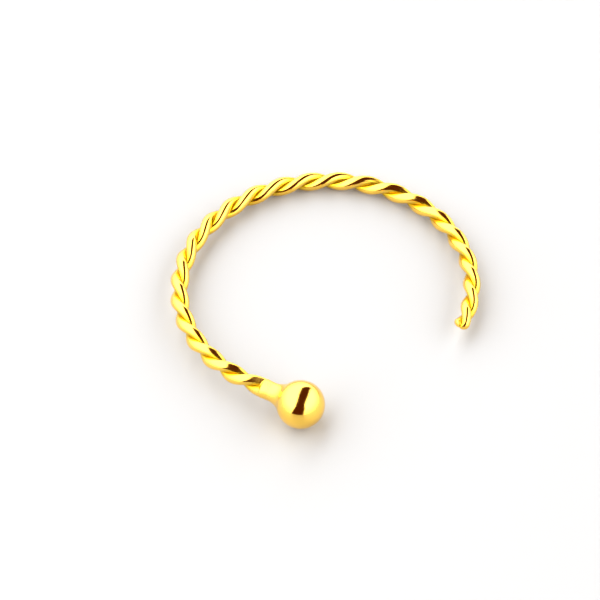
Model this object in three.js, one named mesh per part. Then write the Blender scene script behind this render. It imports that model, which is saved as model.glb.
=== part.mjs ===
// An open nose ring: two round gold wires twisted into a hoop, with a ball on one end.
// Lengths are in millimetres and angles in degrees. The ring lies on its side on z = 0, and
// its lowest point there and the middle of its box from above are the origin.
import * as THREE from "three";

// The hoop. Angles round it run clockwise from +X, seen from above.
const innerDiameter = 10; // clear width inside the hoop
const hoopStart = 122.2; // where the bend begins, at the ball's end
const hoopSweep = 247.8; // how far the even bend goes round
const tailLength = 1.19; // free end, bent a little tighter than the hoop
const tailRadius = 4.37; // bend of the free end, at the middle of the twist
const leadLength = 0.42; // straight stretch of twist between the bend and the neck

// The twist
const wireDiameter = 0.395; // each of the two round wires
const pressDepth = 0.0525; // how deep each wire is pressed flat against the other
const wireClearance = 0.02; // gap between the two flats
const twistPitch = 2.205; // length of one full turn, left-handed
const twistStart = -40; // where the first wire leaves the neck: 0 is outwards, 90 is up
const tipStretch = 5; // length at the free end over which the twist tightens and thins
const tipTightening = 40; // extra twist gathered there
const tipThickness = 0.345; // each wire at the tip
const tipRounding = 0.24; // length of the round end that both wires share

// The ball and its neck
const ballDiameter = 1.74;
const neckLength = 0.89; // from the ends of the wires to the ball
const neckDiameter = 0.7;
const neckFillet = 0.8; // hollow curve where the neck widens into the ball
const seatGap = 0.02; // between the wires' flat ends and the neck

// Polished yellow gold
const wireColour = 0xffcf45;
const ballColour = 0xffd860;
const polishRoughness = 0.1;

// Fineness of the facets
const wireSides = 11; // ten round a wire and one for its flat
const stepsPerTurn = 16;
const ballSides = 32;
const ballSteps = 18;
const filletSteps = 8;
const domeSteps = 4;

const turn = 2 * Math.PI;
const degree = Math.PI / 180;
const up = new THREE.Vector3(0, 0, 1);

// What follows from the sizes above
const wireRadius = wireDiameter / 2;
const flatReach = wireRadius - pressDepth; // from a wire's own middle to its flat
const wireOffset = flatReach + wireClearance / 2; // from the middle of the twist to a wire's own middle
const twistRadius = wireOffset + wireRadius; // half of the twist's outer width
const hoopRadius = innerDiameter / 2 + twistRadius; // to the middle of the twist
const hoopLength = hoopRadius * hoopSweep * degree;
const twistLength = leadLength + hoopLength + tailLength;
const ballRadius = ballDiameter / 2;
const neckRadius = neckDiameter / 2;
const ballDistance = neckLength + ballRadius; // from the wires' ends to the middle of the ball

// The direction that points away from the hoop's middle at an angle round it
function outwardAt(angle) {
  return new THREE.Vector3(Math.cos(angle), -Math.sin(angle), 0);
}

// The direction of travel from the ball's end to the free end at an angle round the hoop
function alongAt(angle) {
  return new THREE.Vector3(-Math.sin(angle), -Math.cos(angle), 0);
}

// The middle line of the twist, at a length from the neck: a straight, the even bend, the tail
function spineAt(length) {
  const startAngle = hoopStart * degree;
  const endAngle = startAngle + hoopSweep * degree;
  const tailStart = leadLength + hoopLength;
  if (length < leadLength) {
    const point = outwardAt(startAngle).multiplyScalar(hoopRadius);
    point.addScaledVector(alongAt(startAngle), length - leadLength);
    return { point, outward: outwardAt(startAngle), along: alongAt(startAngle) };
  }
  if (length < tailStart) {
    const angle = startAngle + (length - leadLength) / hoopRadius;
    const point = outwardAt(angle).multiplyScalar(hoopRadius);
    return { point, outward: outwardAt(angle), along: alongAt(angle) };
  }
  const angle = endAngle + (length - tailStart) / tailRadius;
  const point = outwardAt(endAngle).multiplyScalar(hoopRadius - tailRadius);
  point.addScaledVector(outwardAt(angle), tailRadius);
  return { point, outward: outwardAt(angle), along: alongAt(angle) };
}

// How far a length from the neck has gone into the tip's stretch, as a share squared, which
// starts the change gently
function tipShareAt(length) {
  return Math.max(0, 1 - (twistLength - length) / tipStretch) ** 2;
}

// Where a wire lies round the middle line, as an angle from outwards towards up
function twistAt(length, side) {
  const tightened = tipTightening * degree * tipShareAt(length);
  return twistStart * degree + side * Math.PI - (turn * length) / twistPitch - tightened;
}

// How thick the twist is at a length from the neck, as a share of its full size
function thicknessAt(length) {
  return 1 - (1 - tipThickness / wireDiameter) * tipShareAt(length);
}

// A wire's own middle at a length from the neck and at a share of its full size, with the
// directions away from the other wire and across. The middle comes closer where the wire is
// smaller, so the gap between the flats stays the same.
function wireAt(length, side, share) {
  const { point, outward } = spineAt(length);
  const angle = twistAt(length, side);
  const away = outward.clone().multiplyScalar(Math.cos(angle)).addScaledVector(up, Math.sin(angle));
  const across = outward.clone().multiplyScalar(Math.sin(angle)).addScaledVector(up, -Math.cos(angle));
  const middle = point.addScaledVector(away, flatReach * share + wireClearance / 2);
  return { middle, away, across };
}

// The corners of a section, with x away from the other wire and y across, in wire radii. They
// go round the wire from one edge of its flat to the other.
function sectionCorners() {
  const halfFlat = Math.acos(flatReach / wireRadius);
  return Array.from({ length: wireSides }, (_, i) => {
    const angle = Math.PI + halfFlat + ((turn - 2 * halfFlat) * i) / (wireSides - 1);
    return new THREE.Vector2(Math.cos(angle), Math.sin(angle));
  });
}

// Where both wires have their sections, as lengths from the neck and shares of a wire's full
// size. The last sections shrink to a point, so that the two ends round off as one.
function sectionPlaces() {
  const steps = Math.ceil((twistLength / twistPitch) * stepsPerTurn);
  const places = [];
  for (let i = 0; i <= steps; i++) {
    const length = (twistLength * i) / steps;
    places.push({ length, share: thicknessAt(length) });
  }
  for (let i = 1; i < domeSteps; i++) {
    const angle = (i / domeSteps) * (turn / 4);
    const length = twistLength + tipRounding * Math.sin(angle);
    places.push({ length, share: thicknessAt(length) * Math.cos(angle) });
  }
  return places;
}

// Triangles round the sections and over both ends. Across the flat, the diagonals of the two
// wires lean opposite ways, so that their flats stay parallel as they wind.
function skinTriangles(rows, side) {
  const triangles = [];
  const tip = 1 + rows * wireSides;
  for (let i = 0; i < wireSides; i++) {
    const next = (i + 1) % wireSides;
    triangles.push(0, 1 + i, 1 + next);
    triangles.push(tip, tip - wireSides + next, tip - wireSides + i);
    for (let row = 0; row < rows - 1; row++) {
      const start = 1 + row * wireSides;
      const [a, b] = [start + i, start + next];
      const [c, d] = [a + wireSides, b + wireSides];
      if (next === 0 && side === 1) {
        triangles.push(a, c, b, b, c, d);
      } else {
        triangles.push(a, c, d, a, d, b);
      }
    }
  }
  return triangles;
}

// One wire of the twist. Side 0 leaves the neck at the start angle and side 1 opposite it. Its
// sections stay square to the middle line of the twist, so they are widened across the slope to
// keep the wire round and its foot flat against the neck.
function wireStrand(name, side) {
  const slope = Math.hypot(1, (turn * wireOffset) / twistPitch);
  const places = sectionPlaces();
  const corners = sectionCorners();
  const points = [wireAt(0, side, 1).middle];
  for (const { length, share } of places) {
    const { middle, away, across } = wireAt(length, side, share);
    const radius = wireRadius * share;
    for (const corner of corners) {
      const point = middle.clone().addScaledVector(away, radius * corner.x);
      points.push(point.addScaledVector(across, slope * radius * corner.y));
    }
  }
  points.push(wireAt(twistLength + tipRounding, side, 0).middle);
  const geometry = new THREE.BufferGeometry().setFromPoints(points);
  geometry.setIndex(skinTriangles(places.length, side));
  geometry.computeVertexNormals();
  const mesh = new THREE.Mesh(geometry, polishedGold(wireColour));
  mesh.name = name;
  return mesh;
}

// The outline of the ball and its neck, turned about +Y, with the neck's foot at y = 0
function ballProfile() {
  const filletRise = neckRadius + neckFillet;
  const filletAxial = Math.sqrt((ballRadius + neckFillet) ** 2 - filletRise ** 2);
  const filletStart = ballDistance - filletAxial;
  const seatAngle = Math.atan2(filletRise, filletAxial);
  const profile = [new THREE.Vector2(0, 0), new THREE.Vector2(neckRadius, 0)];
  for (let i = 0; i < filletSteps; i++) {
    const angle = (i / filletSteps) * (turn / 4 - seatAngle);
    const y = filletStart + neckFillet * Math.sin(angle);
    profile.push(new THREE.Vector2(filletRise - neckFillet * Math.cos(angle), y));
  }
  for (let i = 0; i < ballSteps; i++) {
    const angle = seatAngle + (i / ballSteps) * (Math.PI - seatAngle);
    profile.push(new THREE.Vector2(ballRadius * Math.sin(angle), ballDistance - ballRadius * Math.cos(angle)));
  }
  profile.push(new THREE.Vector2(0, ballDistance + ballRadius));
  return profile;
}

// The ball and neck, turned from their profile and set against the wires' ends
function ballEnd() {
  const geometry = new THREE.LatheGeometry(ballProfile(), ballSides);
  const mesh = new THREE.Mesh(geometry, polishedGold(ballColour));
  const { point, outward, along } = spineAt(0);
  const towardsBall = along.clone().negate();
  const frame = new THREE.Matrix4().makeBasis(outward, towardsBall, up);
  mesh.quaternion.setFromRotationMatrix(frame);
  mesh.position.copy(point).addScaledVector(towardsBall, seatGap);
  mesh.name = "ball_end";
  return mesh;
}

function polishedGold(color) {
  return new THREE.MeshStandardMaterial({ color, roughness: polishRoughness, metalness: 1 });
}

// Tips the ring until the ball and the wires opposite it both touch the surface
function layOnItsSide(ring) {
  const { point, along } = spineAt(0);
  const ballMiddle = point.addScaledVector(along, -(ballDistance + seatGap));
  const span = ballMiddle.length() + hoopRadius;
  const tip = Math.asin((ballRadius - twistRadius) / span);
  const hinge = new THREE.Vector3().crossVectors(ballMiddle, up).normalize();
  ring.quaternion.setFromAxisAngle(hinge, tip);
  const box = new THREE.Box3().setFromObject(ring, true);
  const middle = box.getCenter(new THREE.Vector3());
  ring.position.set(-middle.x, -middle.y, -box.min.z);
}

const ring = new THREE.Group();
ring.add(wireStrand("wire_strand_a", 0));
ring.add(wireStrand("wire_strand_b", 1));
ring.add(ballEnd());
layOnItsSide(ring);

const group = new THREE.Group();
group.add(ring);

export default group;
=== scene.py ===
"""An open nose ring of two twisted gold wires with a ball on one end, lying on its side."""

import math

import bpy
import numpy as np
from mathutils import Matrix, Vector


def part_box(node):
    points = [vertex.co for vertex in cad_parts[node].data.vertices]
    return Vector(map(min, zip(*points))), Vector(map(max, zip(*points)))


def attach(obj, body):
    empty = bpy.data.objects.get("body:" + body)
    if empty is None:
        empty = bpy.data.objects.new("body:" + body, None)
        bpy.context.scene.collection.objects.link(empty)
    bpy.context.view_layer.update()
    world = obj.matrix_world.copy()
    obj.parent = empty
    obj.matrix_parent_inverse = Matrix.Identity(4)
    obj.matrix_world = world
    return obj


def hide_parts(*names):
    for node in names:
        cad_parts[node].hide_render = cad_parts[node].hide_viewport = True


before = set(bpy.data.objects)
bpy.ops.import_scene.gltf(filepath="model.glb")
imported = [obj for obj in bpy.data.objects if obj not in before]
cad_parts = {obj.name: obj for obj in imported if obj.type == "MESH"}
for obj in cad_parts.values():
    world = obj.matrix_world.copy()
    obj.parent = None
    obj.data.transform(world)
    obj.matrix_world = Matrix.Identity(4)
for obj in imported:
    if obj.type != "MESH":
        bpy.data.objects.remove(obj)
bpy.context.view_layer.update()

bl_info = {
    "name": "Twisted Wire Nose Ring",
    "version": (1, 0, 0),
    "blender": (4, 5, 0),
    "location": "3D Viewport > Sidebar > Nose Ring",
    "description": "An open hoop of two twisted gold wires with a ball on one end",
    "category": "Add Mesh",
}

MM = 0.001
ball_low, ball_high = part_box("ball_end")
BALL_DIAMETER = round((ball_high.z - ball_low.z) / MM, 2) * MM


def length(name, description, default, **more):
    """A size in metres."""
    return bpy.props.FloatProperty(
        name=name, description=description, default=default, unit="LENGTH", precision=5, **more
    )


def angle(name, description, degrees):
    """An angle, given in degrees and kept in radians."""
    return bpy.props.FloatProperty(
        name=name, description=description, default=math.radians(degrees), subtype="ANGLE"
    )


def colour(name, description, default):
    """A colour in linear light."""
    return bpy.props.FloatVectorProperty(
        name=name, description=description, default=default, subtype="COLOR", size=3, min=0, max=1
    )


def amount(name, description, default, **more):
    """A plain number."""
    return bpy.props.FloatProperty(name=name, description=description, default=default, **more)


class HoopSizes(bpy.types.PropertyGroup):
    """The middle line of the hoop. Angles run clockwise from +X, seen from above."""

    inner_diameter: length("Inner diameter", "Clear width inside the hoop", 10 * MM)
    start: angle("Start", "Where the bend begins, at the ball's end", 122.2)
    sweep: angle("Sweep", "How far the even bend goes round", 247.8)
    tail_length: length("Tail length", "Free end, bent a little tighter", 1.19 * MM)
    tail_radius: length("Tail radius", "Bend of the free end", 4.37 * MM)
    lead_length: length("Lead length", "Straight twist between the bend and the neck", 0.42 * MM)


class TwistSizes(bpy.types.PropertyGroup):
    """The two wires and how they wind round each other."""

    wire_diameter: length("Wire diameter", "Each of the two round wires", 0.395 * MM)
    press_depth: length("Press depth", "How deep each wire is pressed flat", 0.0525 * MM)
    clearance: length("Clearance", "Gap between the flats of the solid wires", 0.02 * MM)
    turn_length: length("Turn length", "Length of one full turn, left-handed", 2.205 * MM)
    start: angle("Twist start", "Where the first wire leaves the neck, from outwards to up", -40)
    tip_stretch: length("Tip stretch", "Where the twist tightens and thins", 5 * MM)
    tip_tightening: angle("Tip tightening", "Extra twist gathered at the free end", 40)
    tip_thickness: length("Tip thickness", "Each wire at the tip", 0.345 * MM)
    tip_rounding: length("Tip rounding", "Length of the round end that both wires share", 0.24 * MM)
    seat_depth: length("Seat depth", "How far the wires run into the soldered neck", 0.3 * MM)
    flat_edge: length("Flat edge", "Rounding where a wire passes into its flat", 0.012 * MM)


class BallSizes(bpy.types.PropertyGroup):
    """The ball, and the neck that joins it to the wires."""

    diameter: length("Diameter", "Across the ball", BALL_DIAMETER)
    neck_length: length("Neck length", "From the ends of the wires to the ball", 0.89 * MM)
    neck_diameter: length("Neck diameter", "Along its straight part", 0.7 * MM)
    neck_fillet: length("Neck fillet", "Hollow curve where the neck widens into the ball", 0.8 * MM)
    solder_start: length("Solder start", "Where the grooves run out, from the neck's foot", 0.1 * MM)
    solder_reach: length("Solder reach", "How far solder runs up between the wires", 0.07 * MM)


class GoldFinish(bpy.types.PropertyGroup):
    """The colours and polish of the gold, and the shade painted into its grooves."""

    wire_colour: colour("Wire colour", "Polished face of the wires", (1.0, 0.62, 0.096))
    ball_colour: colour("Ball colour", "Polished face of the ball", (1.0, 0.625, 0.105))
    # Painted shade: the grooves turn towards this deeper orange, and a broad noise also drifts the faces
    # slightly towards it.
    shade_and_drift_colour: colour("Shade and drift colour", "Painted shade in the grooves, and drift on the faces", (0.9, 0.6, 0.01))
    # Painted shade: a dark brown painted deep in the grooves between the wires.
    groove_shade_colour: colour("Groove shade colour", "Dark painted shade deep in the grooves", (0.38, 0.23, 0.006))
    wire_roughness: amount("Wire roughness", "Polish of the wires", 0.085, min=0, max=1)
    ball_roughness: amount("Ball roughness", "Polish of the ball", 0.06, min=0, max=1)
    filed_roughness: amount("Filed roughness", "Added at the filed neck", 0.17, min=0, max=1)


class StudioSizes(bpy.types.PropertyGroup):
    """The camera, the floor and the lights."""

    elevation: angle("Camera elevation", "Above the floor", 50.02)
    azimuth: angle("Camera azimuth", "To the right of straight ahead", 0.48)
    roll: angle("Camera roll", "Clockwise lean of the camera", -2.5)
    distance: length("Camera distance", "From the middle of the hoop", 112.25 * MM)
    lens: amount("Lens", "Focal length in millimetres on a 36 mm sensor", 183.96)
    hoop_right: amount("Hoop to the right", "Middle of the hoop, in pixels right of centre", 25.3)
    hoop_up: amount("Hoop up", "Middle of the hoop, in pixels above centre", 14.8)
    floor_width: length("Floor width", "Across the round floor", 800 * MM)
    tent_light: amount("Tent light", "Brightness of the tent's white sides", 3.9, min=0)
    skirt_light: amount("Skirt light", "Brightness of the tent near the floor", 1.9, min=0)
    skirt_top: angle("Skirt top", "Above the floor, where the sides reach full brightness", 36)
    gap_azimuth: angle("Gap pole azimuth", "Clockwise from +Y, square to the gap", 106)
    gap_elevation: angle("Gap pole elevation", "Lean of the gap's pole", -11.5)
    gap_half_width: angle("Gap half width", "Half the angle across the gap overhead", 20)
    gap_far_half_width: angle("Gap far half width", "The same on the far side", 15.5)
    gap_near_half_width: angle("Gap near half width", "The same on the camera's side", 26.5)
    gap_near_end: angle("Gap near end", "Above the floor on the camera's side", -1)
    gap_far_end: angle("Gap far end", "Above the floor on the far side, straight ahead", 48)
    gap_far_lean: amount("Gap far lean", "How much lower that end lies to the right", 0.96)
    gap_softness: amount("Gap softness", "Width of the gap's soft edge, as a sine", 0.16, min=0)
    gap_waviness: amount("Gap waviness", "How far folds in the cloth move its edge, as a sine", 0.06, min=0)
    gap_light: colour("Gap light", "Dim warm light that comes through the gap", (0.09, 0.018, 0.0))
    floor_albedo: amount("Floor albedo", "Share of light that the floor returns", 0.425, min=0, max=1)


GROUPS = {
    "ring_hoop": HoopSizes,
    "ring_twist": TwistSizes,
    "ring_ball": BallSizes,
    "ring_gold": GoldFinish,
    "ring_studio": StudioSizes,
}
IMAGE_PIXELS = 600
FULL_TURN = 2 * math.pi
UP = np.array([0.0, 0.0, 1.0])


def smooth_rise(value, low, high):
    """0 below low, 1 above high, and 3t squared less 2t cubed between them."""
    share = np.clip((value - low) / (high - low), 0, 1)
    return share * share * (3 - 2 * share)


def column(values):
    """Adds a last axis, so that a number for each point can scale its vector."""
    return np.asarray(values)[..., None]


class RingShape:
    """Works out where points of the ring lie from the sizes, and lays the ring on its side."""

    def __init__(self, scene):
        hoop, twist, ball = scene.ring_hoop, scene.ring_twist, scene.ring_ball
        self.hoop, self.twist, self.ball = hoop, twist, ball
        self.wire_radius = twist.wire_diameter / 2
        self.flat_reach = self.wire_radius - twist.press_depth
        self.wire_offset = self.flat_reach + twist.clearance / 2
        self.twist_radius = self.wire_offset + self.wire_radius
        self.hoop_radius = hoop.inner_diameter / 2 + self.twist_radius
        self.twist_length = hoop.lead_length + self.hoop_radius * hoop.sweep + hoop.tail_length
        self.slope = math.hypot(1, FULL_TURN * self.wire_offset / twist.turn_length)
        self.ball_radius = ball.diameter / 2
        self.neck_radius = ball.neck_diameter / 2
        self.ball_distance = ball.neck_length + self.ball_radius
        self.place = self.lay_on_its_side()

    def outward(self, turned):
        """The direction away from the middle of the hoop: cosine along X, less sine along Y."""
        return np.stack([np.cos(turned), -np.sin(turned), np.zeros_like(turned)], -1)

    def spine(self, lengths):
        """The middle line of the twist at a length from the neck, and its outward direction.

        A straight runs back from the start, an even arc follows, and the tail is an arc of a
        smaller radius that carries on from the end of the first."""
        hoop = self.hoop
        start, end = hoop.start, hoop.start + hoop.sweep
        arc_length = self.hoop_radius * hoop.sweep
        past_lead = lengths - hoop.lead_length
        past_arc = past_lead - arc_length
        turned = start + np.clip(past_lead, 0, arc_length) / self.hoop_radius
        turned = turned + np.maximum(past_arc, 0) / hoop.tail_radius
        outward = self.outward(turned)
        centre = self.outward(np.asarray(end)) * (self.hoop_radius - hoop.tail_radius)
        in_tail = column(past_arc > 0)
        point = np.where(in_tail, centre + outward * hoop.tail_radius, outward * self.hoop_radius)
        along_start = np.array([-math.sin(start), -math.cos(start), 0])
        return point + column(np.minimum(past_lead, 0)) * along_start, outward

    def tip_share(self, lengths):
        """0 along the hoop, rising with the square of the way through the tip's stretch."""
        return np.maximum(0, 1 - (self.twist_length - lengths) / self.twist.tip_stretch) ** 2

    def twist_angle(self, lengths, side):
        """The wire's place round the middle line: it falls by a full turn for each turn length."""
        twist = self.twist
        tightened = twist.tip_tightening * self.tip_share(lengths)
        return twist.start + side * math.pi - FULL_TURN * lengths / twist.turn_length - tightened

    def lay_on_its_side(self):
        """Tips the hoop until the ball and the wires opposite it both touch the floor.

        The hinge is level and square to the line from the hoop's middle to the ball. The ball
        then goes where the solid ball is."""
        foot, outward = self.spine(np.zeros(1))
        towards_ball = np.cross(UP, outward[0])
        ball_middle = Vector(foot[0] + towards_ball * self.ball_distance)
        span = ball_middle.length + self.hoop_radius
        tip = math.asin((self.ball_radius - self.twist_radius) / span)
        hinge = ball_middle.cross(Vector(UP))
        turned = Matrix.Rotation(tip, 4, hinge)
        rest = Vector((ball_high.x - self.ball_radius, ball_low.y + self.ball_radius, self.ball_radius))
        return Matrix.Translation(rest - turned @ ball_middle) @ turned

    def placed(self, points):
        """The points of the flat hoop, laid on the floor."""
        matrix = np.array(self.place)
        return points @ matrix[:3, :3].T + matrix[:3, 3]


def grid_faces(rows, sides):
    """Quads between rows of points that each close on themselves, and a fan at either end.

    Point 0 is the first pole, the last is the other, and row r, side s is 1 + r * sides + s."""
    row, side = np.meshgrid(np.arange(rows - 1), np.arange(sides), indexing="ij")
    following = (side + 1) % sides
    near, far = 1 + row * sides, 1 + (row + 1) * sides
    quads = np.stack([near + side, far + side, far + following, near + following], -1).reshape(-1, 4)
    around = np.arange(sides)
    onward = (around + 1) % sides
    last_row = 1 + (rows - 1) * sides
    pole = last_row + sides
    first = np.stack([np.zeros_like(around), 1 + around, 1 + onward], -1)
    last = np.stack([np.full_like(around, pole), last_row + onward, last_row + around], -1)
    return quads, np.concatenate([first, last])


def closed_surface(name, rings, poles, masks):
    """A closed smooth mesh from rings of points (rows, sides, 3) and a pole at each end.

    masks holds a value for each point under a name that the materials read."""
    rows, sides = rings.shape[:2]
    points = np.concatenate([poles[:1], rings.reshape(-1, 3), poles[1:]])
    quads, fans = grid_faces(rows, sides)
    mesh = bpy.data.meshes.new(name)
    mesh.vertices.add(len(points))
    mesh.vertices.foreach_set("co", points.ravel())
    corners = np.concatenate([quads.ravel(), fans.ravel()])
    sizes = np.concatenate([np.full(len(quads), 4), np.full(len(fans), 3)])
    mesh.loops.add(len(corners))
    mesh.loops.foreach_set("vertex_index", corners)
    mesh.polygons.add(len(sizes))
    mesh.polygons.foreach_set("loop_start", np.concatenate([[0], np.cumsum(sizes)[:-1]]))
    mesh.polygons.foreach_set("use_smooth", np.ones(len(sizes), bool))
    mesh.update(calc_edges=True)
    for mask, values in masks.items():
        at_poles = values[0].mean(), values[-1].mean()
        at_points = np.concatenate([at_poles[:1], values.ravel(), at_poles[1:]])
        mesh.attributes.new(mask, "FLOAT", "POINT").data.foreach_set("value", at_points)
    mesh.validate()
    piece = bpy.data.objects.new(name, mesh)
    bpy.context.scene.collection.objects.link(piece)
    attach(piece, "root")
    return piece


WIRE_STEPS_PER_TURN = 72
WIRE_SIDES = 64
DOME_STEPS = 12
GROOVE_ANGLE = math.radians(64)  # round a wire from the edge of its flat to where the painted groove shade ends
FILED_REACH = 0.3 * MM  # past the neck's foot and past the fillet


def build_wire(shape, name, side):
    """One wire of the twist, from inside the neck to its end.

    Its middle goes round the middle line of the twist at an offset that shrinks where the wire
    is smaller. Each section lies square to the middle line. It is an ellipse, widened across
    the slope of the winding, and flat where it meets the other wire: there its reach stays at
    the middle line, as half the sum of its round reach and the rounded size of that reach.
    Both wires share a round end, whose size falls as the square root of one less the squared
    share of its length. The masks mark the groove beside the flat, where shade is painted, and the filed
    start."""
    twist = shape.twist
    end = shape.twist_length
    steps = round(end / twist.turn_length * WIRE_STEPS_PER_TURN)
    straight = np.linspace(-twist.seat_depth, end, steps)
    dome = np.sin(np.linspace(0, math.pi / 2, DOME_STEPS + 1))[1:]
    lengths = np.concatenate([straight, end + twist.tip_rounding * dome])
    radii = np.concatenate([np.ones(steps), np.sqrt(1 - dome**2)])
    thinned = 1 - (1 - twist.tip_thickness / twist.wire_diameter) * shape.tip_share(lengths)
    share = radii * thinned
    point, outward = shape.spine(lengths)
    turned = shape.twist_angle(lengths, side)
    away = column(np.cos(turned)) * outward + column(np.sin(turned)) * UP
    across = column(np.sin(turned)) * outward - column(np.cos(turned)) * UP
    offset = column(share * shape.flat_reach + twist.clearance / 2)
    middle = point + away * offset
    around = np.arange(WIRE_SIDES) * FULL_TURN / WIRE_SIDES
    size = column(share * shape.wire_radius)
    round_reach = size * np.cos(around) + offset
    soft = twist.flat_edge * column(radii)
    reach = (round_reach + np.sqrt(round_reach**2 + soft**2) - soft) / 2
    rings = point[:, None] + column(reach) * away[:, None]
    rings += column(size * np.sin(around) * shape.slope) * across[:, None]
    poles = middle[[0, -1]]
    half_flat = math.acos(shape.flat_reach / shape.wire_radius)
    past_flat = np.abs(around - math.pi) - half_flat
    groove = np.tile(np.clip(1 - past_flat / GROOVE_ANGLE, 0, 1), (len(rings) - 1, 1))
    filed = np.repeat(column(1 - smooth_rise(lengths[:-1], 0, FILED_REACH)), WIRE_SIDES, axis=1)
    masks = {"groove": groove, "filed": filed}
    return closed_surface(name, shape.placed(rings[:-1]), shape.placed(poles), masks)


NECK_SIDES = 144
NECK_STEPS = 110
FILLET_STEPS = 28
BALL_STEPS = 120

# The solder between the wires. Reaches count in solder reaches, from where the grooves run out.
WEB_REACH = 2.4  # to where the web fills the grooves
SKIN_REACH = 2.0  # back to where the skin over the wires is thinnest
SKIN_THINNEST = 0.97  # as a share of the wires' outline
SKIN_RISE = 0.04  # how much the skin gains, as the same share
WEB_ROUNDING = 0.06 * MM  # where the web meets the skin
ROUND_FROM = 0.8  # share of the neck's length after which it is fully round
SOLDER_GROOVE_REACH = 0.5  # back to where a groove's painted shade is full
SOLDER_GROOVE_ANGLE = math.radians(40)  # from the middle of a groove to where its painted shade ends


def neck_outline(shape, heights):
    """The ball and neck's radius at heights above the foot: a cylinder, a hollow arc that
    touches both, and the ball."""
    fillet = shape.ball.neck_fillet
    rise = shape.neck_radius + fillet
    axial = math.sqrt((shape.ball_radius + fillet) ** 2 - rise**2)
    fillet_start = shape.ball_distance - axial
    seat = shape.ball_distance - shape.ball_radius * axial / (shape.ball_radius + fillet)
    hollow = rise - np.sqrt(np.maximum(fillet**2 - (heights - fillet_start) ** 2, 0))
    ball = np.sqrt(np.maximum(shape.ball_radius**2 - (heights - shape.ball_distance) ** 2, 0))
    radius = np.where(heights < fillet_start, shape.neck_radius, np.where(heights < seat, hollow, ball))
    return radius, fillet_start, seat


def two_wire_outline(shape, around):
    """How far the outline of both wires lies from the middle of the twist in each direction.

    A ray meets the ellipse of the nearer wire where a quadratic of its length is zero. A ray
    that passes between the wires gets no length."""
    reach, width = shape.wire_radius, shape.wire_radius * shape.slope
    cosine, sine = np.abs(np.cos(around)), np.sin(around)
    square = (cosine / reach) ** 2 + (sine / width) ** 2
    linear = -2 * shape.wire_offset * cosine / reach**2
    constant = (shape.wire_offset / reach) ** 2 - 1
    inside = linear**2 - 4 * square * constant
    return np.where(inside > 0, (-linear + np.sqrt(np.maximum(inside, 0))) / (2 * square), 0)


def build_ball(shape):
    """The ball, its neck and the solder that runs up between the wires.

    The ball and neck are turned about the straight end of the middle line. Near the foot the
    outline becomes that of the two wires with solder filling the grooves between them, turned
    with the twist: the larger of a web and a skin, as half their sum and rounded difference.
    The masks mark the ends of the grooves, where shade is painted, and the filed neck."""
    reach, start = shape.ball.solder_reach, shape.ball.solder_start
    _, fillet_start, seat = neck_outline(shape, np.zeros(1))
    foot = start - SKIN_REACH * reach
    neck = np.linspace(foot, fillet_start, NECK_STEPS)[:-1]
    hollow = np.linspace(fillet_start, seat, FILLET_STEPS)[:-1]
    seat_angle = math.acos((shape.ball_distance - seat) / shape.ball_radius)
    polar = np.linspace(seat_angle, math.pi, BALL_STEPS)[:-1]
    heights = np.concatenate([neck, hollow, shape.ball_distance - shape.ball_radius * np.cos(polar)])
    radius, _, _ = neck_outline(shape, heights)
    around = np.arange(NECK_SIDES) * FULL_TURN / NECK_SIDES
    wires = two_wire_outline(shape, around)[None, :]
    past_start = heights - start
    web = shape.neck_radius * column(smooth_rise(past_start, -reach, reach * WEB_REACH))
    thickening = SKIN_RISE * smooth_rise(past_start, -SKIN_REACH * reach, reach)
    skin = wires * column(SKIN_THINNEST + thickening)
    joined = (skin + web + np.sqrt((skin - web) ** 2 + WEB_ROUNDING**2)) / 2
    roundness = column(smooth_rise(heights, start, shape.ball.neck_length * ROUND_FROM))
    outline = joined + (radius[:, None] - joined) * roundness
    point, outward = shape.spine(-heights)
    turned = shape.twist_angle(-heights, 0)[:, None] + around[None, :]
    ray = column(np.cos(turned)) * outward[:, None] + column(np.sin(turned)) * UP
    rings = point[:, None] + column(outline) * ray
    ends, _ = shape.spine(np.array([-foot, -(shape.ball_distance + shape.ball_radius)]))
    gap = np.abs(np.abs(around - math.pi) - math.pi / 2)
    fading = 1 - smooth_rise(past_start, -SOLDER_GROOVE_REACH * reach, reach)
    groove = column(fading) * np.clip(1 - gap / SOLDER_GROOVE_ANGLE, 0, 1)
    filed_share = 1 - smooth_rise(heights, fillet_start, seat + FILED_REACH)
    filed = np.repeat(column(filed_share), NECK_SIDES, axis=1)
    masks = {"groove": groove, "filed": filed}
    return closed_surface("ball_and_neck", shape.placed(rings), shape.placed(ends), masks)


class NodeLayout:
    """Adds nodes to a tree and joins them in one call."""

    def __init__(self, tree):
        self.tree = tree

    def add(self, kind, inputs=None, **settings):
        """A node of that kind, with its settings made before its inputs are filled. Inputs are
        values, or sockets to join."""
        node = self.tree.nodes.new(kind)
        for name, value in settings.items():
            setattr(node, name, value)
        for name, value in (inputs or {}).items():
            if isinstance(value, bpy.types.NodeSocket):
                self.tree.links.new(value, node.inputs[name])
            else:
                node.inputs[name].default_value = value
        return node

    def math(self, operation, *values, clamp=False):
        """The result of a Math node on up to three values or sockets."""
        inputs = dict(enumerate(values))
        return self.add("ShaderNodeMath", inputs, operation=operation, use_clamp=clamp).outputs[0]

    def add_group(self, name, inputs):
        """The outputs of a shared node group."""
        return self.add("ShaderNodeGroup", inputs, node_tree=shared_group(name)).outputs

    def noise(self, place, **inputs):
        """The value of a Noise Texture at a place."""
        return self.add("ShaderNodeTexNoise", {"Vector": place, **inputs}).outputs[0]

    def mix_colour(self, share, first, second):
        """A colour between two colours."""
        inputs = {0: share, 6: first, 7: second}
        return self.add("ShaderNodeMix", inputs, data_type="RGBA").outputs[2]

    def finish(self, results, node):
        """Joins each named input of a node to its result."""
        for name, result in results.items():
            self.tree.links.new(result, node.inputs[name])


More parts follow.
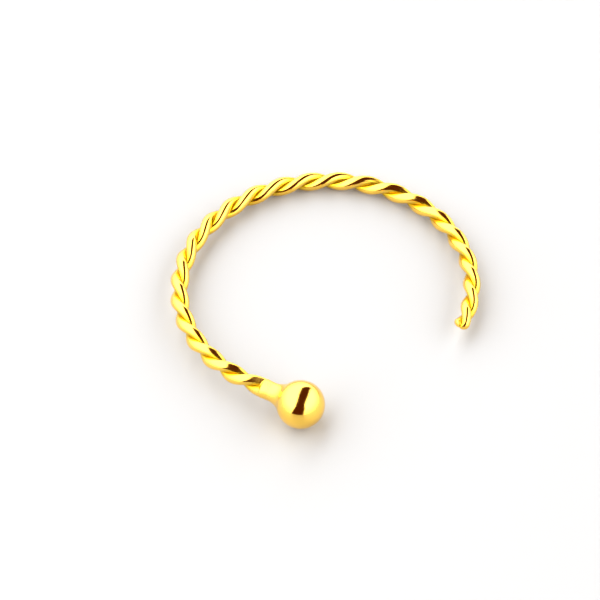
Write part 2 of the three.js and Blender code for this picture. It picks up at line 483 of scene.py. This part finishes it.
def new_group(name, inputs, outputs):
    """A shader node group with named sockets, and its layout, group input and group output."""
    tree = bpy.data.node_groups.new(name, "ShaderNodeTree")
    for label, kind, default in inputs:
        socket = tree.interface.new_socket(name=label, in_out="INPUT", socket_type=kind)
        if default is not None:
            socket.default_value = default
    for label, kind in outputs:
        tree.interface.new_socket(name=label, in_out="OUTPUT", socket_type=kind)
    layout = NodeLayout(tree)
    return tree, layout, layout.add("NodeGroupInput"), layout.add("NodeGroupOutput")


FLOAT, COLOUR, VECTOR = "NodeSocketFloat", "NodeSocketColor", "NodeSocketVector"
MIDDLE_NOISE = 0.5  # the value that a noise varies about
HAIRLINE_TURNS = (0.6, 2.1)  # radians, one for each noise
HAIRLINE_TILT = 0.4  # radians
HAIRLINE_STRETCH = 0.06  # scale along a hairline
HAIRLINE_SHARPNESS = 9.0
HAIRLINE_DEPTH = 0.03


def polish_marks_group():
    """Fine hairlines and a faint ripple that polishing leaves.

    Two noises stretched along crossed directions give hairlines, and a broad noise gives the
    ripple. Marks is a mask of the hairlines and Height is for bump."""
    tree, layout, given, result = new_group(
        "Polish Marks",
        [
            ("Place", VECTOR, None),
            ("Fineness", FLOAT, 18.0),
            ("Ripple Size", FLOAT, 1.6),
            ("Ripple Depth", FLOAT, 0.5),
        ],
        [("Marks", FLOAT), ("Height", FLOAT)],
    )
    place, fineness = given.outputs["Place"], given.outputs["Fineness"]
    hairlines = []
    for turned in HAIRLINE_TURNS:
        stretch = {"Rotation": (turned, HAIRLINE_TILT, turned), "Scale": (1, HAIRLINE_STRETCH, 1)}
        mapped = layout.add("ShaderNodeMapping", {"Vector": place, **stretch}).outputs[0]
        noise = layout.noise(mapped, Scale=fineness, Detail=3.0, Roughness=0.6)
        ridge = layout.math("ABSOLUTE", layout.math("SUBTRACT", noise, MIDDLE_NOISE))
        sharp = layout.math("MULTIPLY", ridge, HAIRLINE_SHARPNESS)
        hairlines.append(layout.math("SUBTRACT", 1.0, sharp, clamp=True))
    marks = layout.math("MAXIMUM", *hairlines)
    ripple = layout.noise(place, Scale=given.outputs["Ripple Size"], Detail=2.0)
    deep = layout.math("MULTIPLY", ripple, given.outputs["Ripple Depth"])
    height = layout.math("SUBTRACT", deep, layout.math("MULTIPLY", marks, HAIRLINE_DEPTH))
    layout.finish({"Marks": marks, "Height": height}, result)
    return tree


SHADE_POWER = 2.3  # how closely the dark painted shade keeps to the bottom of a groove
SHADE_LEAST, SHADE_SPREAD = 0.55, 0.5  # patchiness of that painted shade


def gold_tone_group():
    """The gold's colour: plain on the open faces, with shade painted into the grooves, a deeper orange
    and then dark brown towards their bottom. A broad noise shifts it slightly from place to place."""
    tree, layout, given, result = new_group(
        "Gold Tone",
        [
            ("Place", VECTOR, None),
            ("Face", COLOUR, (1.0, 0.7, 0.16, 1.0)),
            ("Deep", COLOUR, (0.8, 0.36, 0.03, 1.0)),
            ("Painted Shade Colour", COLOUR, (0.16, 0.06, 0.01, 1.0)),
            ("Groove", FLOAT, 0.0),
            ("Painted Shade Amount", FLOAT, 0.8),
            ("Drift", FLOAT, 0.08),
        ],
        [("Colour", COLOUR), ("Painted Shade Mask", FLOAT)],
    )
    place, groove, deep = (given.outputs[name] for name in ("Place", "Groove", "Deep"))
    broad = layout.noise(place, Scale=0.9, Detail=3.0)
    fine = layout.noise(place, Scale=9.0, Detail=4.0)
    drift = layout.math("MULTIPLY", broad, given.outputs["Drift"])
    face = layout.mix_colour(drift, given.outputs["Face"], deep)
    # Painted shade: the grooves turn towards the deeper colour.
    shaded_in_grooves = layout.mix_colour(groove, face, deep)
    # Painted shade: a patchy dark brown that keeps near the bottom of each groove.
    patchy = layout.math("MULTIPLY_ADD", fine, SHADE_SPREAD, SHADE_LEAST)
    painted_shade = layout.math("MULTIPLY", layout.math("POWER", groove, SHADE_POWER), patchy, clamp=True)
    painted_shade = layout.math("MULTIPLY", painted_shade, given.outputs["Painted Shade Amount"], clamp=True)
    colour_here = layout.mix_colour(painted_shade, shaded_in_grooves, given.outputs["Painted Shade Colour"])
    layout.finish({"Colour": colour_here, "Painted Shade Mask": painted_shade}, result)
    return tree


GROUP_MAKERS = {"Polish Marks": polish_marks_group, "Gold Tone": gold_tone_group}


def shared_group(name):
    """The named node group, made the first time that it is asked for."""
    return bpy.data.node_groups.get(name) or GROUP_MAKERS[name]()


MARKS_ROUGHNESS = 0.05
# Roughness added where the groove shade is painted.
GROOVE_ROUGHNESS = 0.35
BUMP_STRENGTH = 0.35
BUMP_DEPTH = 0.012 * MM


def rgba(values):
    """A colour with full alpha."""
    return (*values, 1.0)


def polished_gold(name, finish, face, roughness, marks_size, ripple_size):
    """Bright polished gold: full metal, a low uneven roughness, hairlines and a soft ripple.

    The sizes of marks and ripple count in the noises' scale for each millimetre."""
    material = bpy.data.materials.new(name)
    material.use_nodes = True
    layout = NodeLayout(material.node_tree)
    shader = material.node_tree.nodes["Principled BSDF"]
    place = layout.add("ShaderNodeTexCoord").outputs["Object"]
    in_mm = layout.add("ShaderNodeMapping", {"Vector": place, "Scale": (1 / MM,) * 3}).outputs[0]
    groove, filed = (
        layout.add("ShaderNodeAttribute", attribute_name=mask).outputs["Fac"]
        for mask in ("groove", "filed")
    )
    # The tone paints shade into the grooves: a deeper orange, and dark brown near their bottom.
    tone_inputs = {
        "Place": in_mm,
        "Groove": groove,
        "Face": rgba(face),
        "Deep": rgba(finish.shade_and_drift_colour),
        "Painted Shade Colour": rgba(finish.groove_shade_colour),
    }
    marks_inputs = {"Place": in_mm, "Fineness": marks_size, "Ripple Size": ripple_size}
    tone = layout.add_group("Gold Tone", tone_inputs)
    marks = layout.add_group("Polish Marks", marks_inputs)
    worn = layout.math("MULTIPLY_ADD", marks["Marks"], MARKS_ROUGHNESS, roughness)
    # Roughness also rises where the groove shade is painted, and at the filed neck.
    dull = layout.math("MULTIPLY", tone["Painted Shade Mask"], GROOVE_ROUGHNESS)
    dull = layout.math("ADD", dull, layout.math("MULTIPLY", filed, finish.filed_roughness))
    rough = layout.math("ADD", worn, dull, clamp=True)
    relief = {"Height": marks["Height"], "Strength": BUMP_STRENGTH, "Distance": BUMP_DEPTH}
    bump = layout.add("ShaderNodeBump", relief).outputs[0]
    shader.inputs["Metallic"].default_value = 1.0
    layout.finish({"Base Color": tone["Colour"], "Roughness": rough, "Normal": bump}, shader)
    return material


SATIN_ROUGHNESS = 0.45


def satin_material(name, albedo):
    """A satin neutral surface."""
    material = bpy.data.materials.new(name)
    material.use_nodes = True
    shader = material.node_tree.nodes["Principled BSDF"]
    shader.inputs["Base Color"].default_value = rgba(albedo)
    shader.inputs["Roughness"].default_value = SATIN_ROUGHNESS
    return material


# The scales of the polish marks and of the ripple on each piece
WIRE_MARKS = (26.0, 2.2)
BALL_MARKS = (12.0, 1.1)


class NOSERING_OT_wires(bpy.types.Operator):
    """Builds the two twisted wires"""

    bl_idname = "nosering.wires"
    bl_label = "Twisted Wires"

    def execute(self, context):
        scene = context.scene
        shape = RingShape(scene)
        finish = scene.ring_gold
        gold = polished_gold("twisted_gold", finish, finish.wire_colour, finish.wire_roughness, *WIRE_MARKS)
        for side, node in enumerate(("wire_strand_a", "wire_strand_b")):
            piece = build_wire(shape, node.replace("strand", "polished"), side)
            piece.data.materials.append(gold)
            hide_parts(node)
        return {"FINISHED"}


class NOSERING_OT_ball(bpy.types.Operator):
    """Builds the ball with its soldered neck"""

    bl_idname = "nosering.ball"
    bl_label = "Ball and Neck"

    def execute(self, context):
        scene = context.scene
        finish = scene.ring_gold
        piece = build_ball(RingShape(scene))
        gold = polished_gold("ball_gold", finish, finish.ball_colour, finish.ball_roughness, *BALL_MARKS)
        piece.data.materials.append(gold)
        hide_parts("ball_end")
        return {"FINISHED"}


def stage_surface(name, points, faces, material):
    """A stage piece from its points and faces."""
    mesh = bpy.data.meshes.new(name)
    mesh.from_pydata(points.tolist(), [], faces)
    surface = bpy.data.objects.new(name, mesh)
    bpy.context.scene.collection.objects.link(surface)
    surface.data.materials.append(material)


FLOOR_SIDES = 64


def round_floor(width, albedo):
    """Points round a circle on z = 0, counter-clockwise so that the floor faces up."""
    turned = np.arange(FLOOR_SIDES) * FULL_TURN / FLOOR_SIDES
    points = np.stack([np.cos(turned), np.sin(turned), np.zeros_like(turned)], -1) * width / 2
    material = satin_material("pale_floor", (albedo,) * 3)
    stage_surface("floor", points, [list(range(FLOOR_SIDES))], material)


def aimed_at(place, target):
    """The camera's matrix at a place, looking at the target with its top up."""
    turned = (target - place).to_track_quat("-Z", "Y")
    return Matrix.Translation(place) @ turned.to_matrix().to_4x4()


def direction(azimuth, elevation):
    """A unit direction, its azimuth clockwise from +Y."""
    level = math.cos(elevation)
    return (level * math.sin(azimuth), level * math.cos(azimuth), math.sin(elevation))


# The tent, as sines of angles: low and high ends of smooth steps
NEAR_WIDENING = (0.6, 0.85)  # towards the camera's side
FAR_NARROWING = (0.1, 0.75)  # towards the far side
SIDE_CHANGE = (-0.3, 0.3)  # from the camera's side to the far side
GAP_END_FADE = (-0.05, 0.08)  # above each end of the gap
SKIRT_FOOT = -0.05  # above the floor
FOLD_SCALE = 4.0


def light_tent(studio):
    """A white cloth tent with a dark gap that runs overhead from behind the camera.

    The sides brighten smoothly from the floor up. The gap is a band about a great circle: it
    is where the sine of the angle to its pole is small, with a wavy soft edge. It is wider on
    the camera's side, and fades out above the floor at both ends, lower to the right."""
    world = bpy.data.worlds.new("light_tent")
    world.use_nodes = True
    layout = NodeLayout(world.node_tree)
    towards = layout.add("ShaderNodeTexCoord").outputs["Generated"]
    parts = layout.add("ShaderNodeSeparateXYZ", {0: towards}).outputs

    def along(vector):
        """How far a direction points along a vector."""
        inputs = {0: towards, 1: vector}
        return layout.add("ShaderNodeVectorMath", inputs, operation="DOT_PRODUCT").outputs["Value"]

    def rise(value, low, high, start=0.0, end=1.0):
        """A smooth step from start to end."""
        inputs = {"Value": value, "From Min": low, "From Max": high, "To Min": start, "To Max": end}
        return layout.add("ShaderNodeMapRange", inputs, interpolation_type="SMOOTHSTEP").outputs[0]

    folds = layout.noise(towards, Scale=FOLD_SCALE, Detail=1.0)
    wave = layout.math("MULTIPLY", layout.math("SUBTRACT", folds, MIDDLE_NOISE), studio.gap_waviness)
    across = layout.math("ADD", along(direction(studio.gap_azimuth, studio.gap_elevation)), wave)
    backward = layout.math("MULTIPLY", parts["Y"], -1.0)
    widths = (math.sin(studio.gap_half_width), math.sin(studio.gap_near_half_width))
    narrowing = widths[0] - math.sin(studio.gap_far_half_width)
    far_loss = rise(parts["Y"], *FAR_NARROWING, 0.0, narrowing)
    half_width = layout.math("SUBTRACT", rise(backward, *NEAR_WIDENING, *widths), far_loss)
    inside = layout.math("SUBTRACT", half_width, layout.math("ABSOLUTE", across))
    band = rise(inside, -studio.gap_softness / 2, studio.gap_softness / 2)
    ends = (math.sin(studio.gap_near_end), math.sin(studio.gap_far_end))
    far_lean = rise(parts["Y"], *SIDE_CHANGE, 0.0, studio.gap_far_lean)
    lean = layout.math("MULTIPLY", parts["X"], far_lean)
    end = layout.math("SUBTRACT", rise(parts["Y"], *SIDE_CHANGE, *ends), lean)
    above = layout.math("SUBTRACT", parts["Z"], end)
    gap = layout.math("MULTIPLY", band, rise(above, *GAP_END_FADE))
    skirt_top = math.sin(studio.skirt_top)
    sides = rise(parts["Z"], SKIRT_FOOT, skirt_top, studio.skirt_light, studio.tent_light)
    white = layout.add("ShaderNodeCombineXYZ", {"X": sides, "Y": sides, "Z": sides}).outputs[0]
    lit = layout.mix_colour(gap, white, rgba(studio.gap_light))
    layout.finish({"Color": lit}, world.node_tree.nodes["Background"])
    bpy.context.scene.world = world


CAMERA_RANGE = (1 * MM, 10)


def photo_camera(scene, target):
    """The camera, round the hoop's middle at the photo's angle, with its lean."""
    studio = scene.ring_studio
    level, turned = math.cos(studio.elevation), studio.azimuth
    away = Vector((level * math.sin(turned), -level * math.cos(turned), math.sin(studio.elevation)))
    camera = bpy.data.cameras.new("photo_camera")
    camera.lens = studio.lens
    camera.clip_start, camera.clip_end = CAMERA_RANGE
    camera.shift_x = -studio.hoop_right / IMAGE_PIXELS
    camera.shift_y = -studio.hoop_up / IMAGE_PIXELS
    stand = bpy.data.objects.new("photo_camera", camera)
    aim = aimed_at(target + away * studio.distance, target)
    stand.matrix_world = aim @ Matrix.Rotation(studio.roll, 4, "Z")
    scene.collection.objects.link(stand)
    scene.camera = stand


class NOSERING_OT_stage(bpy.types.Operator):
    """Sets up the floor, the lights and the camera"""

    bl_idname = "nosering.stage"
    bl_label = "Studio"

    def execute(self, context):
        scene = context.scene
        shape = RingShape(scene)
        hoop_middle = shape.place.translation
        studio = scene.ring_studio
        round_floor(studio.floor_width, studio.floor_albedo)
        light_tent(studio)
        photo_camera(scene, hoop_middle)
        scene.view_settings.view_transform = "Standard"
        return {"FINISHED"}


class NOSERING_PT_panel(bpy.types.Panel):
    """Lists the ring's sizes and finishes, and the steps that build it"""

    bl_idname = "NOSERING_PT_panel"
    bl_label = "Twisted Wire Nose Ring"
    bl_space_type = "VIEW_3D"
    bl_region_type = "UI"
    bl_category = "Nose Ring"

    def draw(self, context):
        rows = self.layout.column()
        for name in GROUPS:
            group = getattr(context.scene, name)
            for field in group.bl_rna.properties:
                if not field.is_readonly and field.identifier != "name":
                    rows.prop(group, field.identifier)
        for operator in OPERATORS:
            rows.operator(operator.bl_idname)


OPERATORS = (NOSERING_OT_stage, NOSERING_OT_wires, NOSERING_OT_ball)
CLASSES = (*GROUPS.values(), *OPERATORS, NOSERING_PT_panel)


def register():
    """Registers the classes and hangs each group of sizes on the scene."""
    for item in CLASSES:
        bpy.utils.register_class(item)
    for name, group in GROUPS.items():
        setattr(bpy.types.Scene, name, bpy.props.PointerProperty(type=group))


def unregister():
    """Takes the groups and classes away again."""
    for name in GROUPS:
        delattr(bpy.types.Scene, name)
    for item in reversed(CLASSES):
        bpy.utils.unregister_class(item)


def main():
    """Builds the whole scene."""
    register()
    bpy.ops.nosering.stage()
    bpy.ops.nosering.wires()
    bpy.ops.nosering.ball()


if __name__ == "__main__":
    main()
